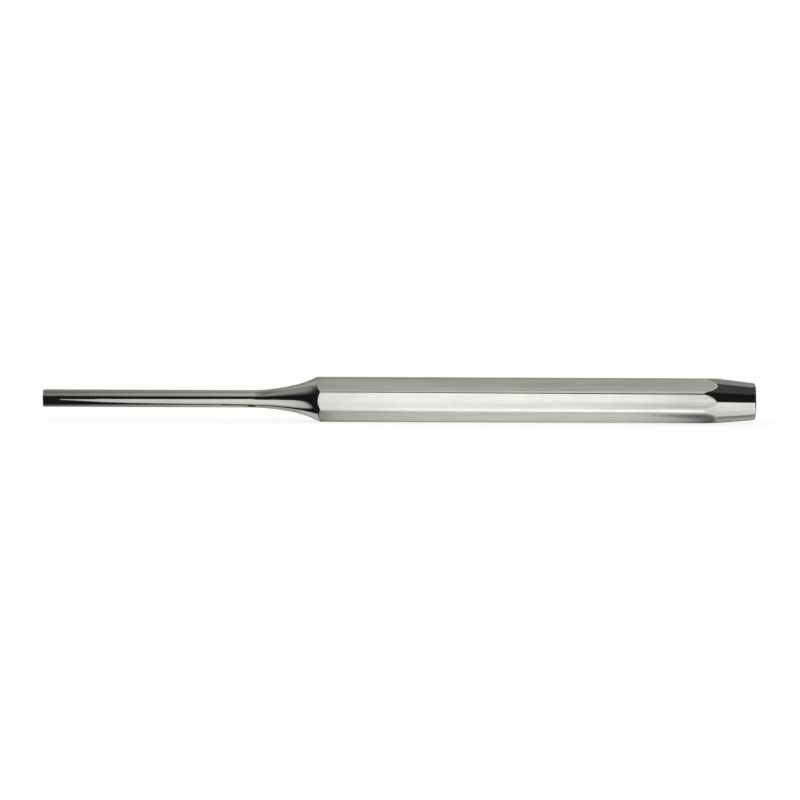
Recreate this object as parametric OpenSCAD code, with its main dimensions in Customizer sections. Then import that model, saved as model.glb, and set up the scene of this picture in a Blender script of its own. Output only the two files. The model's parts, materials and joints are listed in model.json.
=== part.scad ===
// Pin punch, made from one piece of octagonal tool steel bar.
// One end is turned and ground to a straight drive pin, with a hollow neck between the pin and the bar.
// The other end is turned to a short taper and bevelled, to take the hammer.
// The punch lies on one flat of its shank. X runs along the axis, from the drive tip to the struck end,
// Z is up, and the origin is the centre of the drive tip's face. All sizes are in millimetres.

/* [Shank] */
// Length of the whole punch, from the drive tip to the struck end
punch_len = 160; // [130:1:250]
// Width of the octagonal bar across its flats
across_flats = 10; // [9:0.5:14]
// Width of the narrow round land that breaks each long edge of the bar
edge_land = 0.25; // [0.1:0.05:0.6]

/* [Drive pin] */
// Diameter of the drive pin
pin_d = 3.9; // [2:0.1:6]
// Length of the straight drive pin, from the tip to the start of the neck
pin_len = 47.6; // [25:0.1:70]
// Bevel around the drive tip
tip_bevel = 0.2; // [0.1:0.05:0.5]

/* [Neck] */
// Radius of the long hollow curve that rises from the pin
neck_curve_r = 54; // [32:1:80]
// Angle between the pin and the start of that curve, in degrees
neck_rise = 2.5; // [2:0.5:10]
// Radius of the tighter flare that follows it and runs out at the shank
flare_curve_r = 20; // [10:1:30]
// Angle to the axis at which the long curve gives way to the flare, in degrees
flare_rise = 12; // [11:0.5:16]

/* [Head] */
// Diameter of the struck end, over its bevel
head_d = 8.3; // [6:0.1:9.5]
// Angle of the head's taper to the axis, in degrees
head_taper = 6; // [3:0.5:15]
// Bevel around the struck end
head_bevel = 0.25; // [0.1:0.05:0.8]

/* [Hidden] */

// Steps around a full turn, and around the large circles that hollow the neck
turn_steps = 120;
curve_steps = 360;
// How far the bar runs past the turned shape at each end, so that the turned faces are the ones left
bar_overrun = 1;

// The bar: half its width, and its radius to a sharp corner
flat_r = across_flats / 2;
half_facet = 180 / 8;
sharp_corner_r = flat_r / cos(half_facet);

// The lands: how far each one takes the flats back from the corner, and its own radius from the axis
land_setback = edge_land / (2 * cos(half_facet));
land_r = norm([flat_r, flat_r * tan(half_facet) - land_setback]);

// The neck: the centre of its long curve, as a distance from the axis and from the drive tip
pin_r = pin_d / 2;
curve_centre_r = pin_r + neck_curve_r * cos(neck_rise);
curve_centre_x = pin_len - neck_curve_r * sin(neck_rise);

// The flare: where it takes over, its centre, in line with the long curve's centre so that the two circles
// touch there, and the place where it runs out at the bar's corners
flare_start = curve_centre_x + neck_curve_r * sin(flare_rise);
flare_centre_r = curve_centre_r - (neck_curve_r - flare_curve_r) * cos(flare_rise);
flare_centre_x = curve_centre_x + (neck_curve_r - flare_curve_r) * sin(flare_rise);
neck_end = flare_centre_x + sqrt(flare_curve_r ^ 2 - (flare_centre_r - land_r) ^ 2);

// The head: where its taper starts at the bar's corners, and where its bevel starts
head_r = head_d / 2;
bevel_start = punch_len - head_bevel;
head_start = bevel_start - (land_r - head_r) / tan(head_taper);

// In each half section below, X is the distance from the axis and Y is the distance from the drive tip.

// The pin with its bevelled tip. Its root runs on inside the neck, up to the shank.
module drive_pin_section() {
    polygon([
        [0, 0],
        [pin_r - tip_bevel, 0],
        [pin_r, tip_bevel],
        [pin_r, neck_end],
        [0, neck_end]
    ]);
}

// The shank out to its lands, the tapered head and the bevel of the struck end. It starts below the neck's
// long curve, so that the curves alone shape the neck.
module shank_and_head_section() {
    polygon([
        [0, curve_centre_x],
        [land_r, curve_centre_x],
        [land_r, head_start],
        [head_r, bevel_start],
        [head_r - head_bevel, punch_len],
        [0, punch_len]
    ]);
}

// The hollow that is cut for the neck: the long curve's circle as far as the flare, and the flare's circle
module neck_hollow_section() {
    intersection() {
        translate([curve_centre_r, curve_centre_x])
            circle(r = neck_curve_r, $fn = curve_steps);
        translate([0, curve_centre_x])
            square([curve_centre_r, flare_start - curve_centre_x]);
    }
    translate([flare_centre_r, flare_centre_x])
        circle(r = flare_curve_r, $fn = curve_steps);
}

// Everything that the lathe and the grinding wheel leave: all the round surfaces of the punch
module turned_shape() {
    rotate([0, 90, 0])
        rotate_extrude($fn = turn_steps)
            union() {
                drive_pin_section();
                difference() {
                    shank_and_head_section();
                    neck_hollow_section();
                }
            }
}

// The octagonal bar that the punch is cut from, lying on one of its flats
module octagonal_bar() {
    translate([-bar_overrun, 0, 0])
        rotate([90, 0, 90])
            linear_extrude(height = punch_len + 2 * bar_overrun)
                rotate(half_facet)
                    circle(r = sharp_corner_r, $fn = 8);
}

// The punch: the part of the bar that lies inside the turned shape. The flats run out in curved scallops
// where the neck and the head's taper cut them.
module punch() {
    color([0.77, 0.77, 0.74])
        intersection() {
            octagonal_bar();
            turned_shape();
        }
}

punch();
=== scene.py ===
import json
import math

import bpy
from mathutils import Matrix, Vector


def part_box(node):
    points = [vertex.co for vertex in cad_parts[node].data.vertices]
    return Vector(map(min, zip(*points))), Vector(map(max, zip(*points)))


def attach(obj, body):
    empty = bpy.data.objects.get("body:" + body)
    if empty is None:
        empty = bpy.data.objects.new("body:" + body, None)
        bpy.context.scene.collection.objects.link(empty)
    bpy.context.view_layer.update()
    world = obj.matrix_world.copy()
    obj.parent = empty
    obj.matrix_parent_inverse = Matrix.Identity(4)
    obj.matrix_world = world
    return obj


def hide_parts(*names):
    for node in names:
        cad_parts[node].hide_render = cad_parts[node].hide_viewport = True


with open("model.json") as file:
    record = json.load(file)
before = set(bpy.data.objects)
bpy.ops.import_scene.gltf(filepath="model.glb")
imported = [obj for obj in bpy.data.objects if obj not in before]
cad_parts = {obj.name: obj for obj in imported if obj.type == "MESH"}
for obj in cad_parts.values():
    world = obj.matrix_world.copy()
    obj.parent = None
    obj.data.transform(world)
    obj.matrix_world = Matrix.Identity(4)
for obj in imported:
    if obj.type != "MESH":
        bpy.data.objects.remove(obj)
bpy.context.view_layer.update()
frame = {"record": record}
scene = bpy.context.scene
MM = 0.001

# The camera. The photograph was taken with a long lens from straight in front of the punch, four degrees
# above its axis, and the punch fills most of the frame's width. Its axis dips slightly to the right.
low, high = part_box("punch")
punch_len = high.x - low.x
aim_right = 0.2 * MM
aim_down = 0.125 * MM
aim = Vector(((low.x + high.x) / 2 + aim_right, 0, -aim_down))
camera_height_angle = math.radians(4)
camera_roll = math.radians(0.24)
camera_distance = 1100 * MM
photo_width_px = 800
punch_length_px = 711.8
frame_width = punch_len * photo_width_px / punch_length_px

camera_data = bpy.data.cameras.new("camera")
camera_data.sensor_width = 36
camera_data.lens = camera_data.sensor_width * camera_distance / frame_width
camera = bpy.data.objects.new("camera", camera_data)
backwards = Vector((0, -math.cos(camera_height_angle), math.sin(camera_height_angle)))
turn = backwards.to_track_quat("Z", "Y").to_matrix() @ Matrix.Rotation(camera_roll, 3, "Z")
camera.matrix_world = Matrix.Translation(aim + backwards * camera_distance) @ turn.to_4x4()
scene.collection.objects.link(camera)
scene.camera = camera


# The punch. One octagonal bar of tool steel is turned and ground to a straight pin with a hollow neck
# behind it at one end, and to a short taper with a bevel at the other. The eight flats between them keep
# their lengthwise grinding marks, and the round parts are polished.
class Flow:
    """A value that runs between the nodes of a tree. Arithmetic on it adds Math nodes."""

    def __init__(self, tree, socket=None):
        self.tree = tree
        self.socket = socket

    def node(self, kind, settings=None, sockets=None, output=0):
        """Add a node, make its settings, feed its sockets, and return one of its outputs."""
        made = self.tree.nodes.new(kind)
        for name, value in (settings or {}).items():
            if name == "items":
                # An index switch starts with fewer items than the path has stations.
                while len(made.index_switch_items) < value:
                    made.index_switch_items.new()
            else:
                setattr(made, name, value)
        for key, value in (sockets or {}).items():
            if isinstance(value, Flow):
                self.tree.links.new(value.socket, made.inputs[key])
            else:
                made.inputs[key].default_value = value
        return Flow(self.tree, made.outputs[output]) if made.outputs else None

    def also(self, output):
        """Another output of the node that this value comes from."""
        return Flow(self.tree, self.socket.node.outputs[output])

    def math(self, operation, *others):
        """What a Math node makes of this value and the others."""
        return self.node("ShaderNodeMath", {"operation": operation}, dict(enumerate((self, *others))))

    def reflected(self, operation, other):
        """What a Math node makes of another value and this one, in that order."""
        return self.node("ShaderNodeMath", {"operation": operation}, {0: other, 1: self})

    def __add__(self, other):
        return self.math("ADD", other)

    def __radd__(self, other):
        return self.math("ADD", other)

    def __sub__(self, other):
        return self.math("SUBTRACT", other)

    def __rsub__(self, other):
        return self.reflected("SUBTRACT", other)

    def __mul__(self, other):
        return self.math("MULTIPLY", other)

    def __rmul__(self, other):
        return self.math("MULTIPLY", other)

    def __truediv__(self, other):
        return self.math("DIVIDE", other)

    def __rtruediv__(self, other):
        return self.reflected("DIVIDE", other)

    def stepped(self, start, end, before=0.0, after=1.0):
        """Go smoothly from one value to another while this value goes from start to end."""
        return self.node(
            "ShaderNodeMapRange",
            {"interpolation_type": "SMOOTHSTEP"},
            {"Value": self, "From Min": start, "From Max": end, "To Min": before, "To Max": after},
        )


drive_pin = next(mount for mount in frame["record"]["mounts"] if mount["name"] == "drive_pin")
pin_end = drive_pin["pos_m"][0] + drive_pin["dims"]["length_mm"] * MM / 2
punch_sizes = {
    "Punch length": punch_len,
    "Across flats": high.y - low.y,
    "Edge softness": 0.46 * MM,
    "Flat crown": 0.03 * MM,
    "Pin radius": drive_pin["dims"]["r_mm"] * MM,
    "Pin end": pin_end,
    "Pin end rounding": 30 * MM,
    "Tip bevel": 0.16 * MM,
    "Tip rounding": 0.03 * MM,
    "Neck curve radius": 54 * MM,
    "Neck rise": math.radians(2.5),
    "Flare curve radius": 20 * MM,
    "Flare rise": math.radians(12),
    "Flare end": math.radians(31.5),
    "Neck offset": 0.11 * MM,
    "Head radius": 4.15 * MM,
    "Head taper": math.radians(6),
    "Head bevel": 0.25 * MM,
    "Rolled rim": 0.25 * MM,
    "Rolled rim angle": math.radians(17),
    "Rolled rim radius": 1.8 * MM,
    "Rim rounding": 0.06 * MM,
    "Head offset": -0.17 * MM,
    "Head side offset": 0.04 * MM,
    "Run-out softness": 0.07 * MM,
    "Shoulder softness": 1.3 * MM,
}

shape = bpy.data.node_groups.new("punch_shape", "GeometryNodeTree")
shape.interface.new_socket("Punch", in_out="OUTPUT", socket_type="NodeSocketGeometry")
size_sockets = {
    name: shape.interface.new_socket(name, in_out="INPUT", socket_type="NodeSocketFloat")
    for name in punch_sizes
}
steel_socket = shape.interface.new_socket("Steel", in_out="INPUT", socket_type="NodeSocketMaterial")
nodes = Flow(shape)
size = {name: nodes.node("NodeGroupInput", output=name) for name in punch_sizes}


def onward(place, distance, rise):
    """The place that lies a distance further along the path, in a direction that rises from the axis."""
    x, r = place
    return x + distance * rise.math("COSINE"), r + distance * rise.math("SINE")


# The path of the turning tool, seen from the side: distance along the axis, and distance from it. Each
# corner has its rounding, the steps of that rounding, and the cuts in the stretch that follows it. The path
# leaves the bar where it is further out than the bar's corners.
sides = 8
bar_clearance = 0.2 * MM
lead_out = 0.1 * MM
run_out_depth = 0.28 * MM
curve_rounding_share = 0.85
flat_r = size["Across flats"] / 2
corner_r = flat_r / math.cos(math.pi / sides)
blank_r = corner_r + bar_clearance
run_out_r = flat_r - run_out_depth
curve_reach = size["Neck curve radius"] * ((size["Flare rise"] - size["Neck rise"]) / 2).math("TANGENT")
flare_reach = size["Flare curve radius"] * ((size["Flare end"] - size["Flare rise"]) / 2).math("TANGENT")
curve_corner = onward((size["Pin end"], size["Pin radius"]), curve_reach, size["Neck rise"])
flare_corner = onward(curve_corner, curve_reach + flare_reach, size["Flare rise"])
flare_stop = onward(flare_corner, flare_reach, size["Flare end"])
taper_climb = size["Head taper"].math("TANGENT")
bevel_start = size["Punch length"] - size["Head bevel"]
roll_r = size["Head radius"] + size["Rolled rim"] * taper_climb
rim_r = roll_r - size["Rolled rim"] * size["Rolled rim angle"].math("TANGENT")
path = [
    (0.0, 0.0, 0.0, 1, 5),
    (0.0, size["Pin radius"] - size["Tip bevel"], size["Tip rounding"], 4, 0),
    (size["Tip bevel"], size["Pin radius"], size["Tip rounding"], 4, 0),
    (size["Pin end"], size["Pin radius"], size["Pin end rounding"], 8, 0),
    (*curve_corner, size["Neck curve radius"] * curve_rounding_share, 28, 0),
    (*flare_corner, size["Flare curve radius"], 110, 0),
    (*flare_stop, 0.0, 1, 0),
    (flare_stop[0] + lead_out, blank_r, 0.0, 1, 4),
    (bevel_start - (blank_r - size["Head radius"]) / taper_climb, blank_r, 0.0, 1, 90),
    (bevel_start - (run_out_r - size["Head radius"]) / taper_climb, run_out_r, 0.0, 1, 6),
    (bevel_start - size["Rolled rim"], roll_r, size["Rolled rim radius"], 8, 0),
    (bevel_start, rim_r, size["Rim rounding"], 4, 0),
    (size["Punch length"], size["Head radius"] - size["Head bevel"], size["Rim rounding"], 4, 5),
    (size["Punch length"], 0.0, 0.0, 1, 0),
]
path_x, path_r, roundings, rounding_steps, stretch_cuts = zip(*path)


def by_station(kind, values):
    """The value that belongs to each station of the path."""
    station = nodes.node("GeometryNodeInputIndex")
    sockets = {"Index": station}
    sockets.update({str(number): value for number, value in enumerate(values)})
    return nodes.node("GeometryNodeIndexSwitch", {"data_type": kind, "items": len(values)}, sockets)


def joined(x, y, z):
    """A place, from its three coordinates."""
    return nodes.node("ShaderNodeCombineXYZ", sockets={"X": x, "Y": y, "Z": z})


places = by_station("VECTOR", [joined(x, r, 0.0) for x, r in zip(path_x, path_r)])
stations = nodes.node("GeometryNodePoints", sockets={"Count": len(path), "Position": places})
outline = nodes.node("GeometryNodePointsToCurves", sockets={"Points": stations})
outline = nodes.node(
    "GeometryNodeStoreNamedAttribute",
    {"data_type": "INT"},
    {"Geometry": outline, "Name": "cuts", "Value": by_station("INT", stretch_cuts)},
)
outline = nodes.node(
    "GeometryNodeFilletCurve",
    {"mode": "POLY"},
    {
        "Curve": outline,
        "Count": by_station("INT", rounding_steps),
        "Radius": by_station("FLOAT", roundings),
        "Limit Radius": True,
    },
)
cuts = nodes.node("GeometryNodeInputNamedAttribute", {"data_type": "INT"}, {"Name": "cuts"})
outline = nodes.node("GeometryNodeSubdivideCurve", sockets={"Curve": outline, "Cuts": cuts})

# The skin: a grid with a row for each point of the path and a column for each angle around the axis. The
# columns crowd together at the bar's eight long edges.
columns = 288
crowding_share = 0.6
merge_distance = 0.001 * MM
rows = nodes.node("GeometryNodeAttributeDomainSize", {"component": "CURVE"}, {"Geometry": outline})
skin = nodes.node("GeometryNodeMeshGrid", sockets={"Vertices X": rows, "Vertices Y": columns + 1})
number = nodes.node("GeometryNodeInputIndex")
row = (number / (columns + 1)).math("FLOOR")
column = number - row * (columns + 1)
angle = column * (math.tau / columns)
angle = angle + (angle * sides).math("SINE") * (crowding_share / sides)
on_path = nodes.node(
    "GeometryNodeSampleIndex",
    {"data_type": "FLOAT_VECTOR"},
    {"Geometry": outline, "Value": nodes.node("GeometryNodeInputPosition"), "Index": row},
)
along = nodes.node("ShaderNodeSeparateXYZ", sockets={"Vector": on_path})

# The bar was chucked a hair off centre each time, so the flats run out further on one side than on the
# other. The head also tilts, down towards its end. The shift fades out towards the centre of the end faces,
# which stay flat.
tilt_start = 151 * MM
tilt_reach = 9 * MM
least_tilt_share = -0.3
face_fade = 1 * MM
neck_half_fade = (80 * MM, 100 * MM)
head_half_fade = (90 * MM, 110 * MM)
on_neck_half = along.stepped(*neck_half_fade, 1.0, 0.0)
on_head_half = along.stepped(*head_half_fade)
neck_share = along.stepped(size["Pin end"], flare_stop[0]) * on_neck_half
head_share = ((along - tilt_start) / tilt_reach).math("MAXIMUM", least_tilt_share) * on_head_half
face_share = (along.also("Y") / face_fade).math("MINIMUM", 1.0)
lift = (size["Neck offset"] * neck_share + size["Head offset"] * head_share) * face_share
sideways = size["Head side offset"] * face_share * on_head_half
turned_r = along.also("Y") + lift * angle.math("SINE") + sideways * angle.math("COSINE")

# The flats: each side of the bar is flat_r from the axis, less the slight crown that polishing leaves. Where
# the path lies outside the bar, the flat remains. The shoulders at the top and the bottom of the neck are
# softened more than the other edges of the flats.
edge_reach = 0.5 * MM
blend_reach = 0.05 * MM
facet = math.tau / sides
into_facet = angle.math("FLOORED_MODULO", facet)
this_flat = flat_r / into_facet.math("COSINE")
next_flat = flat_r / (facet - into_facet).math("COSINE")
crown_drop = size["Flat crown"] * (1 - (angle * sides).math("COSINE")) / 2
bar_r = this_flat.math("SMOOTH_MIN", next_flat, size["Edge softness"]) - crown_drop
near_edge = (this_flat - next_flat).math("ABSOLUTE").stepped(0.0, edge_reach, 1.0, 0.0)
upright_share = angle.math("SINE").math("ABSOLUTE").stepped(0.7, 0.85)
shoulder_share = near_edge * upright_share * on_neck_half
softness = size["Run-out softness"] + size["Shoulder softness"] * shoulder_share
skin_r = turned_r.math("SMOOTH_MIN", bar_r, softness)
flat_share = (turned_r - bar_r).stepped(-blend_reach, blend_reach)
edge_share = near_edge * flat_share
skin = nodes.node(
    "GeometryNodeSetPosition",
    sockets={
        "Geometry": skin,
        "Position": joined(along, skin_r * angle.math("COSINE"), skin_r * angle.math("SINE")),
    },
)
for name, share in {"flat_share": flat_share, "edge_share": edge_share}.items():
    skin = nodes.node(
        "GeometryNodeStoreNamedAttribute", sockets={"Geometry": skin, "Name": name, "Value": share}
    )
skin = nodes.node("GeometryNodeMergeByDistance", sockets={"Geometry": skin, "Distance": merge_distance})
skin = nodes.node("GeometryNodeSetShadeSmooth", sockets={"Geometry": skin})
skin = nodes.node("GeometryNodeRealizeInstances", sockets={"Geometry": skin})
steel_input = nodes.node("NodeGroupInput", output="Steel")
skin = nodes.node("GeometryNodeSetMaterial", sockets={"Geometry": skin, "Material": steel_input})
nodes.node("NodeGroupOutput", sockets={"Punch": skin})

# The steel: long grinding lines on the flats, fine rings on the turned parts, and soft patches where the
# polishing wheel pressed harder.
steel = bpy.data.materials.new("tool_steel")
steel.use_nodes = True
steel.node_tree.nodes.clear()
finish = Flow(steel.node_tree)
place = finish.node("ShaderNodeTexCoord", output="Object")


def grain(stretch, detail):
    """Noise from 0 to 1 whose grain has so many cycles per metre along X, Y and Z."""
    stretched = finish.node("ShaderNodeMapping", sockets={"Vector": place, "Scale": stretch})
    return finish.node("ShaderNodeTexNoise", sockets={"Vector": stretched, "Scale": 1.0, "Detail": detail})


on_flat = finish.node("ShaderNodeAttribute", {"attribute_name": "flat_share"}, output="Fac")
on_edge = finish.node("ShaderNodeAttribute", {"attribute_name": "edge_share"}, output="Fac")
fine_lines = grain((60, 4600, 4600), 3.0).stepped(0.3, 0.7)
broad_lines = grain((22, 1500, 1500), 2.0).stepped(0.3, 0.7)
rings = grain((7000, 120, 120), 3.0)
patches = grain((130, 420, 420), 3.0).stepped(0.35, 0.65)
flat_roughness = 0.09 + 0.05 * fine_lines + 0.04 * broad_lines - 0.03 * on_edge
round_roughness = 0.04 + 0.02 * rings + 0.015 * patches
roughness = round_roughness + (flat_roughness - round_roughness) * on_flat
height = on_flat * (0.5 * fine_lines + 0.8 * broad_lines) + (1 - on_flat) * 0.12 * rings
bump = finish.node("ShaderNodeBump", sockets={"Strength": 1.0, "Distance": 0.0015 * MM, "Height": height})
streaks = 0.25 * fine_lines + 0.5 * broad_lines + 0.25 * patches
tint_share = 0.3 + 0.75 * streaks - on_flat * (0.2 - 0.05 * streaks - 0.3 * on_edge)
tint = finish.node(
    "ShaderNodeMix",
    {"data_type": "RGBA"},
    {"Factor": tint_share, "A": (0.68, 0.675, 0.64, 1), "B": (0.93, 0.925, 0.90, 1)},
    output="Result",
)
surface = finish.node(
    "ShaderNodeBsdfPrincipled",
    sockets={"Base Color": tint, "Metallic": 1.0, "Roughness": roughness, "Normal": bump},
)
finish.node("ShaderNodeOutputMaterial", sockets={"Surface": surface})

punch = bpy.data.objects.new("pin_punch", bpy.data.meshes.new("blank"))
scene.collection.objects.link(punch)
maker = punch.modifiers.new("shape", "NODES")
maker.node_group = shape
for name, value in punch_sizes.items():
    maker[size_sockets[name].identifier] = value
maker[steel_socket.identifier] = steel
evener = punch.modifiers.new("even_normals", "WEIGHTED_NORMAL")
evener.weight = 100
made = punch.evaluated_get(bpy.context.evaluated_depsgraph_get())
mesh = bpy.data.meshes.new_from_object(made)
punch.modifiers.clear()
punch.data = mesh
mesh.name = "pin_punch"
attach(punch, "root")
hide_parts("punch")

# The floor. A plain white table that the punch lies on, and that keeps its soft shadow. The steel doesn't
# mirror it, because the sheets and cards of the studio take its place in the reflections. Next to the punch,
# cards of painted shadow stand in for that shadow in the reflections.
table = bpy.data.materials.new("white_table")
table.use_nodes = True
table.node_tree.nodes.clear()
table_glow_share = 0.8
paint = Flow(table.node_tree)
rays = paint.node("ShaderNodeLightPath", output="Is Camera Ray")
seen = rays + rays.also("Is Glossy Ray") + rays.also("Is Transmission Ray")
lit = paint.node("ShaderNodeBsdfDiffuse", sockets={"Color": (0.98, 0.98, 0.98, 1)})
glow = paint.node("ShaderNodeEmission", sockets={"Color": (1, 1, 1, 1), "Strength": 1.0})
white = paint.node("ShaderNodeMixShader", sockets={0: seen * table_glow_share, 1: lit, 2: glow})
paint.node("ShaderNodeOutputMaterial", sockets={"Surface": white})


def sheet(name, material, rows):
    """A sheet of the studio, from rows of corners in millimetres. Each row is joined to the next one."""
    corners = [Vector(corner) * MM for row in rows for corner in row]
    width = len(rows[0])
    starts = [row * width + column for row in range(len(rows) - 1) for column in range(width - 1)]
    data = bpy.data.meshes.new(name)
    faces = [(start, start + 1, start + width + 1, start + width) for start in starts]
    data.from_pydata(corners, [], faces)
    data.materials.append(material)
    made_sheet = bpy.data.objects.new(name, data)
    scene.collection.objects.link(made_sheet)
    return made_sheet


floor_z = low.z / MM
reach = 40000
table_top = sheet("table", table, [[(-reach, y, floor_z), (reach, y, floor_z)] for y in (-reach, reach)])
table_top.visible_glossy = False

# The studio. Soft white light comes from all around, and the polished steel mirrors cards that the camera
# doesn't see: a ceiling, screens all around, sheets on a level below the table, and narrow cards of painted
# shadow just above it. Each corner of a card has its own brightness.
card_paint = bpy.data.materials.new("card_paint")
card_paint.use_nodes = True
card_paint.node_tree.nodes.clear()
shade = Flow(card_paint.node_tree)
shade_colour = shade.node("ShaderNodeAttribute", {"attribute_name": "glow"}, output="Color")
shade_glow = shade.node("ShaderNodeEmission", sockets={"Color": shade_colour, "Strength": 1.0})
shade.node("ShaderNodeOutputMaterial", sockets={"Surface": shade_glow})


def card(name, tint, *rows):
    """A card of the studio. Each corner is its x, y and z in millimetres and its brightness."""
    made_card = sheet(name, card_paint, [[corner[:3] for corner in row] for row in rows])
    colours = made_card.data.color_attributes.new("glow", "FLOAT_COLOR", "POINT")
    for colour, corner in zip(colours.data, [corner for row in rows for corner in row]):
        colour.color = (*(corner[3] * share for share in tint), 1)
    made_card.visible_camera = False
    made_card.visible_diffuse = False
    made_card.visible_shadow = False


def level(z, x_start, x_end, y_start, y_end, glow):
    """The corners of a card that lies level and is equally bright all over."""
    return [[(x_start, y, z, glow), (x_end, y, z, glow)] for y in (y_start, y_end)]


def upright(y, x_start, x_end, z_start, z_end, glow):
    """The corners of a card that stands across the view and is equally bright all over."""
    return [[(x_start, y, z, glow), (x_end, y, z, glow)] for z in (z_start, z_end)]


warm = (1.0, 1.0, 0.92)
bright = (1.0, 0.99, 0.965)
neutral = (1.0, 1.0, 1.03)
cold = (1.0, 1.0, 1.25)
blue = (0.93, 1.0, 1.03)
brown = (1.0, 0.98, 0.80)
black_glow = 0.01
dark_glow = 0.02
dim_glow = 0.05

# Overhead the light is brightest in front of the shank and falls away to the left and to the back. Each row
# of its table holds a y and the brightness at each x. To the right of the shank, beyond a light strip, it is
# dim or black, so that the head stays dark. The paler cards at the back and on the far right are there for
# the views from other sides.
ceiling_z = 500
ceiling_front = -1120
studio_back = 1000
studio_right = 1200
strip_start = 195
strip_end = 225
dim_end = 530
side_front = -300
ceiling_across = (-2500, -400, -310, -180, -90, -40, 20, 62, 100, 150, 195)
ceiling_along = (
    (-1120, 0.01, 0.01, 0.01, 0.01, 0.01, 0.03, 0.04, 0.04, 0.10, 0.55, 0.58),
    (-940, 0.01, 0.01, 0.01, 0.01, 0.03, 0.08, 0.05, 0.05, 0.25, 0.58, 0.58),
    (-760, 0.01, 0.01, 0.02, 0.04, 0.07, 0.16, 0.09, 0.08, 0.50, 0.60, 0.60),
    (-620, 0.02, 0.04, 0.06, 0.12, 0.17, 0.22, 0.28, 0.12, 0.58, 0.62, 0.62),
    (-450, 0.06, 0.10, 0.14, 0.18, 0.26, 0.24, 0.42, 0.48, 0.62, 0.62, 0.62),
    (-320, 0.08, 0.14, 0.20, 0.24, 0.30, 0.22, 0.43, 0.61, 0.61, 0.61, 0.61),
    (-230, 0.08, 0.17, 0.24, 0.26, 0.29, 0.17, 0.41, 0.60, 0.60, 0.60, 0.60),
    (-140, 0.08, 0.20, 0.27, 0.30, 0.27, 0.14, 0.37, 0.55, 0.55, 0.55, 0.55),
    (-50, 0.08, 0.11, 0.21, 0.23, 0.22, 0.12, 0.30, 0.43, 0.43, 0.42, 0.40),
    (10, 0.10, 0.16, 0.19, 0.20, 0.21, 0.12, 0.24, 0.41, 0.40, 0.38, 0.36),
    (75, 0.18, 0.28, 0.30, 0.28, 0.26, 0.13, 0.24, 0.39, 0.38, 0.36, 0.33),
    (150, 0.20, 0.38, 0.40, 0.38, 0.37, 0.21, 0.31, 0.36, 0.36, 0.35, 0.33),
    (300, 0.20, 0.36, 0.36, 0.38, 0.34, 0.27, 0.32, 0.30, 0.30, 0.30, 0.30),
    (600, 0.20, 0.26, 0.22, 0.26, 0.26, 0.24, 0.28, 0.29, 0.29, 0.29, 0.29),
    (1000, 0.20, 0.22, 0.22, 0.22, 0.20, 0.18, 0.26, 0.28, 0.28, 0.28, 0.28),
)
card("ceiling", warm, *[
    [(x, y, ceiling_z, glow) for x, glow in zip(ceiling_across, glows)] for y, *glows in ceiling_along
])
upper_z = ceiling_z + 1
card("light_strip", warm, *level(ceiling_z, strip_start, strip_end, ceiling_front, studio_back, 0.62))
dim_along = (
    (strip_end, -473, 121),
    (296, -473, 121),
    (322, -473, 254),
    (349, -473, 254),
    (362, -332, 254),
    (dim_end, -332, 254),
)
card("dim_ceiling", neutral, *[[(x, y, ceiling_z, dim_glow) for y in edges] for x, *edges in dim_along])
black_corners = level(upper_z, strip_end, studio_right, ceiling_front, side_front, black_glow)
card("black_ceiling", neutral, *black_corners)
card("back_ceiling", warm, *level(upper_z, strip_end, dim_end, 100, studio_back, 0.25))
card("side_ceiling", warm, *level(ceiling_z, dim_end, studio_right, side_front, studio_back, 0.40))

# Screens close the horizon all around. The ones in front hang clear of the table where the neck and the
# shank look under them, at a bright screen far away. A small black one stands close in front of the tip.
screen_foot = -56
front_left_y = -560
front_left_top = 330
left_hem = (
    (-1200, screen_foot),
    (-188, screen_foot),
    (-140, -20),
    (-90, -10),
    (-60, -40),
    (-5, screen_foot),
    (13, -14),
    (44, -8),
    (50, 190),
)
card("front_screen_left", cold, *[
    [(x, front_left_y, z, black_glow) for z in (hem, front_left_top)] for x, hem in left_hem
])
front_y = -800
middle_edges = (
    (30, 280, 499),
    (65, 270, 499),
    (95, 180, 440),
    (150, 75, 360),
    (186, 58, 360),
    (202, -5, 480),
    (240, screen_foot, 499),
)
card("front_screen_middle", neutral, *[
    [(x, front_y, z, black_glow) for z in (hem, top)] for x, hem, top in middle_edges
])
front_right_y = -790
right_corners = upright(front_right_y, 240, studio_right, screen_foot, ceiling_z, black_glow)
card("front_screen_right", neutral, *right_corners)
far_y = -1510
far_top = 150
far_across = (
    (24, 0.6),
    (44, 1.1),
    (58, 1.3),
    (72, 1.2),
    (90, 1.11),
    (120, 1.13),
    (175, 1.2),
    (255, 1.12),
    (350, 0.84),
    (1500, 0.84),
)
card("far_screen", bright, *[[(x, far_y, z, glow) for x, glow in far_across] for z in (screen_foot, far_top)])
back_foot = 60
back_across = ((-2500, 0.14), (-70, 0.14), (-10, 0.28), (studio_right, 0.28))
card("back_screen", warm, *[
    [(x, studio_back, z, glow) for x, glow in back_across] for z in (back_foot, ceiling_z)
])
sheet_z = -55
left_x = -400
left_across = (-1100, -600, -300, -130, 60)
left_rise = (
    (sheet_z, 0.01, 0.01, 0.01, 0.01, 0.01),
    (290, 0.01, 0.01, 0.016, 0.01, 0.01),
    (340, 0.01, 0.012, 0.04, 0.014, 0.02),
    (380, 0.01, 0.018, 0.075, 0.025, 0.03),
    (420, 0.01, 0.03, 0.115, 0.05, 0.06),
    (468, 0.02, 0.05, 0.16, 0.09, 0.12),
    (ceiling_z, 0.03, 0.07, 0.18, 0.11, 0.15),
)
card("left_screen", neutral, *[
    [(left_x, y, z, glow) for y, glow in zip(left_across, glows)] for z, *glows in left_rise
])
left_back_along = ((60, 0.17), (200, 0.28), (studio_back, 0.28))
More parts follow.
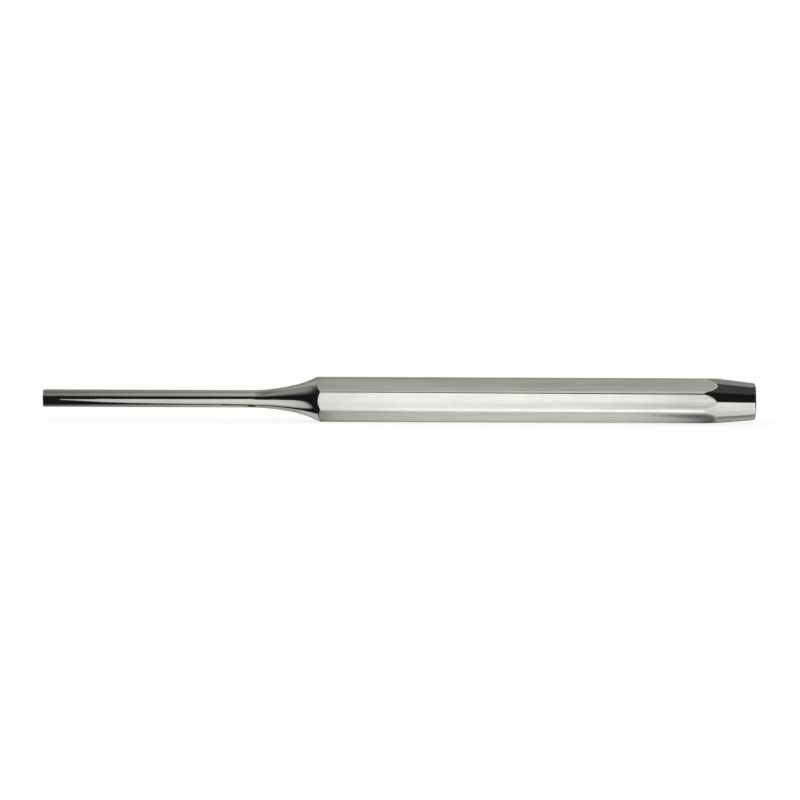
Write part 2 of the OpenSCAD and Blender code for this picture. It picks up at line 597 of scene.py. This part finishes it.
card("left_back_screen", warm, *[
    [(left_x, y, z, glow) for y, glow in left_back_along] for z in (sheet_z, ceiling_z)
])
right_x = 700
card("right_screen", neutral, *[
    [(right_x, y, z, dark_glow) for y in (front_y, 700)] for z in (sheet_z, ceiling_z)
])
tip_y = -100
card("tip_screen", cold, *upright(tip_y, -1200, 6, -22, 60, black_glow))

# Low in front lies a white sheet. It fades at its left edge, and to the right it turns bluish before it
# ends. Each row of its table holds its y, the x where it starts, is nearly full, is full, turns bluish and
# ends, and its brightness on the left and on the right. Where sheets overlap, the higher one shows.
start_glow = 0.08
rise_share = 0.65
blue_share = 1.15
sheet_rows = (
    (-4, 46, 48, 50, 174, 252, 0.60, 0.50),
    (-14, 32, 40, 46, 174, 254, 0.52, 0.62),
    (-17, 24, 34, 45, 175, 257, 0.54, 0.65),
    (-24, 13, 23, 46, 176, 261, 0.60, 0.70),
    (-31, 5, 14, 40, 177, 266, 0.65, 0.72),
    (-40, -2, 6, 32, 179, 275, 0.66, 0.75),
    (-64, -18, -5, 24, 184, 305, 0.67, 0.80),
    (-84, -33, -16, 18, 189, 330, 0.69, 0.82),
    (-162, -84, -50, 0, 212, 457, 0.69, 0.84),
    (-250, -120, -66, -20, 237, 598, 0.70, 0.84),
    (-330, -170, -100, -10, 262, 737, 0.70, 0.84),
    (-400, -5, 5, 20, 284, 856, 0.70, 0.84),
    (-520, -5, 5, 20, 322, 1061, 0.72, 0.84),
    (-1500, -5, 5, 20, 630, 2750, 0.72, 0.84),
)
card("white_sheet", bright, *[
    [
        (start, y, sheet_z, start_glow),
        (rise, y, sheet_z, left_glow * rise_share),
        (left, y, sheet_z, left_glow),
        (right, y, sheet_z, right_glow),
    ]
    for y, start, rise, left, right, end, left_glow, right_glow in sheet_rows
])
card("blue_sheet", blue, *[
    [(x, y, sheet_z, right_glow * blue_share) for x in (right, end)]
    for y, start, rise, left, right, end, left_glow, right_glow in sheet_rows
])

# In front of the shank lies a brighter sheet, with the greyer place that the front flat shows near the head.
bright_along = (-9, -60, -150, -300, -420, -560, -700, -850, -1500)
bright_rows = (
    ((66, 0.73), (84, 0.95), (100, 1.12), (120, 1.12), (140, 1.12), (148, 1.12), (154, 1.12), (160, 0.55)),
    ((63, 0.73), (82, 0.95), (98, 1.12), (120, 1.12), (140, 1.12), (150, 1.12), (157, 1.12), (165, 0.70)),
    ((57, 0.73), (76, 1.00), (92, 1.12), (122, 1.10), (143, 1.10), (154, 1.08), (163, 1.05), (174, 0.80)),
    ((50, 0.70), (66, 1.08), (76, 1.14), (125, 1.02), (148, 0.93), (160, 0.76), (172, 0.62), (188, 0.84)),
    ((46, 0.64), (60, 1.06), (66, 1.08), (80, 0.92), (140, 0.88), (163, 0.56), (176, 0.38), (194, 0.78)),
    ((41, 0.60), (57, 1.04), (63, 1.12), (80, 0.95), (142, 0.94), (167, 0.60), (182, 0.42), (206, 0.80)),
    ((36, 0.60), (54, 1.08), (62, 1.26), (80, 1.12), (146, 1.12), (172, 0.98), (190, 0.76), (220, 0.82)),
    ((30, 0.60), (50, 1.10), (60, 1.30), (80, 1.22), (152, 1.24), (180, 1.22), (202, 1.08), (240, 0.84)),
    ((20, 0.60), (44, 1.10), (58, 1.30), (80, 1.20), (165, 1.28), (200, 1.26), (240, 1.12), (300, 0.84)),
)
bright_z = sheet_z + 0.1
card("bright_sheet", bright, *[
    [(x, y, bright_z, glow) for x, glow in row] for y, row in zip(bright_along, bright_rows)
])

# Beyond the white sheet's left edge lies a black one. Each row of its table holds a y and the x from which
# it is black. To the left of that it is pale, for the views from other sides. There is a dark corner behind
# the tip, and a dark sheet beyond the right end.
sheet_reach = 1500
black_z = sheet_z - 0.4
dark_z = sheet_z - 0.2
pale_glow = 0.35
pale_blend = 30
black_start = ((-1500, -440), (-220, -420), (-170, -320), (-100, -160), (-70, -110), (-35, -70), (5, -60))
card("black_sheet", cold, *[
    [
        (-sheet_reach, y, black_z, pale_glow),
        (x - pale_blend, y, black_z, pale_glow),
        (x, y, black_z, black_glow),
        (60, y, black_z, black_glow),
    ]
    for y, x in black_start
])
card("dark_corner", cold, *level(black_z, -110, -16, 5, 110, dark_glow))
card("dark_sheet", neutral, *level(dark_z, 150, sheet_reach, -sheet_reach, -2, dark_glow))

# Under the punch and behind it the sheets are grey. They are darker behind it, and paler again further back.
# The shank has a paler one below it, the neck a light one behind it and a black one that gives the flats
# their dark line where they run out, and the head a brown line below it.
grey_z = sheet_z - 0.6
rear_z = sheet_z - 0.5
pale_z = sheet_z + 0.2
neck_z = sheet_z + 0.25
run_out_z = sheet_z + 0.4
line_z = sheet_z + 0.3
card("grey_sheet", warm, *level(grey_z, -sheet_reach, sheet_reach, -3, 220, 0.38))
rear_along = ((60, 0.15), (110, 0.15), (150, 0.45), (700, 0.45), (studio_back, 0.15))
card("rear_sheet", warm, *[
    [(x, y, rear_z, glow) for x in (-sheet_reach, sheet_reach)] for y, glow in rear_along
])
pale_along = ((46, 0.22), (61.5, 0.27), (64.5, 0.46), (75, 0.51), (88, 0.62), (130, 0.61), (154, 0.58))
card("pale_sheet", warm, *[[(x, y, pale_z, glow) for x, glow in pale_along] for y in (-9, 25)])
neck_along = ((25, 0.46), (36, 0.54), (42, 0.42), (46, 0.32))
card("neck_light", warm, *[[(x, y, neck_z, glow) for x, glow in neck_along] for y in (9, 70)])
run_out_along = ((-45, 47.5, 58), (-12, 47.5, 59.5), (5, 44.5, 59.5), (40, 44, 58))
card("run_out_shade", cold, *[[(x, y, run_out_z, black_glow) for x in edges] for y, *edges in run_out_along])
line_across = ((-5.5, 0.38), (-3.5, 0.20), (3, 0.20), (9, 0.27), (18, 0.36))
card("head_line", brown, *[[(x, y, line_z, glow) for y, glow in line_across] for x in (158, 215)])

# Narrow cards just above the table are painted shadow. They stand in for the punch's own shadow on the table,
# which the pin and the shank find there as dark reflections. The one along the shank's lower edge shows as a
# thin dark line, and the one before the head as an oval.
shade_z = floor_z + 0.1
under_z = floor_z + 0.05
pin_shade_rows = (
    (-30, -55, -0.5),
    (0.8, -55, -0.7),
    (1.9, -24, -0.75),
    (3.4, -14.6, -0.8),
    (8.4, -8.9, -1.0),
    (12.9, -5.6, -1.2),
    (19.6, -4.0, -1.5),
    (26.4, -3.4, -1.65),
    (35, -3.15, -1.75),
    (47, -2.4, -1.9),
)
card("pin_shade", cold, *[[(x, y, shade_z, black_glow) for y in edges] for x, *edges in pin_shade_rows])
# A grey card of painted shadow lies under and behind the pin, paler towards the neck.
under_along = ((-30, 0.15), (0, 0.15), (40, 0.38))
card("pin_shadow_under", warm, *[[(x, y, under_z, glow) for x, glow in under_along] for y in (-3, 30)])
edge_shade_along = ((62.5, 0.12), (68, 0.20), (80, 0.30), (100, 0.38), (130, 0.45))
card("edge_shade", warm, *[[(x, y, shade_z, glow) for x, glow in edge_shade_along] for y in (-2.35, -1.6)])
shank_shade_across = (-4.28, -4.0, -3.6, -3.1, -2.7, -2.35, -1.6)
shank_shade_along = (
    (130, 0.61, 0.61, 0.61, 0.61, 0.61, 0.58, 0.40),
    (135, 0.52, 0.52, 0.57, 0.58, 0.60, 0.51, 0.32),
    (138.8, 0.42, 0.32, 0.44, 0.50, 0.56, 0.43, 0.24),
    (142.5, 0.34, 0.18, 0.27, 0.40, 0.50, 0.34, 0.16),
    (145.6, 0.28, 0.12, 0.15, 0.27, 0.35, 0.22, 0.10),
    (148.7, 0.26, 0.11, 0.13, 0.17, 0.17, 0.09, 0.07),
    (150.4, 0.60, 0.28, 0.16, 0.13, 0.11, 0.12, 0.12),
    (151.4, 0.60, 0.55, 0.45, 0.35, 0.30, 0.30, 0.30),
)
card("shank_shade", warm, *[
    [(x, y, shade_z, glow) for y, glow in zip(shank_shade_across, glows)] for x, *glows in shank_shade_along
])

# The light itself comes from plain white surroundings.
world = bpy.data.worlds.new("white_surroundings")
scene.world = world
world.use_nodes = True
surroundings = world.node_tree.nodes["Background"]
surroundings.inputs["Color"].default_value = (1, 1, 1, 1)
surroundings.inputs["Strength"].default_value = 1.0
scene.view_settings.view_transform = "Standard"
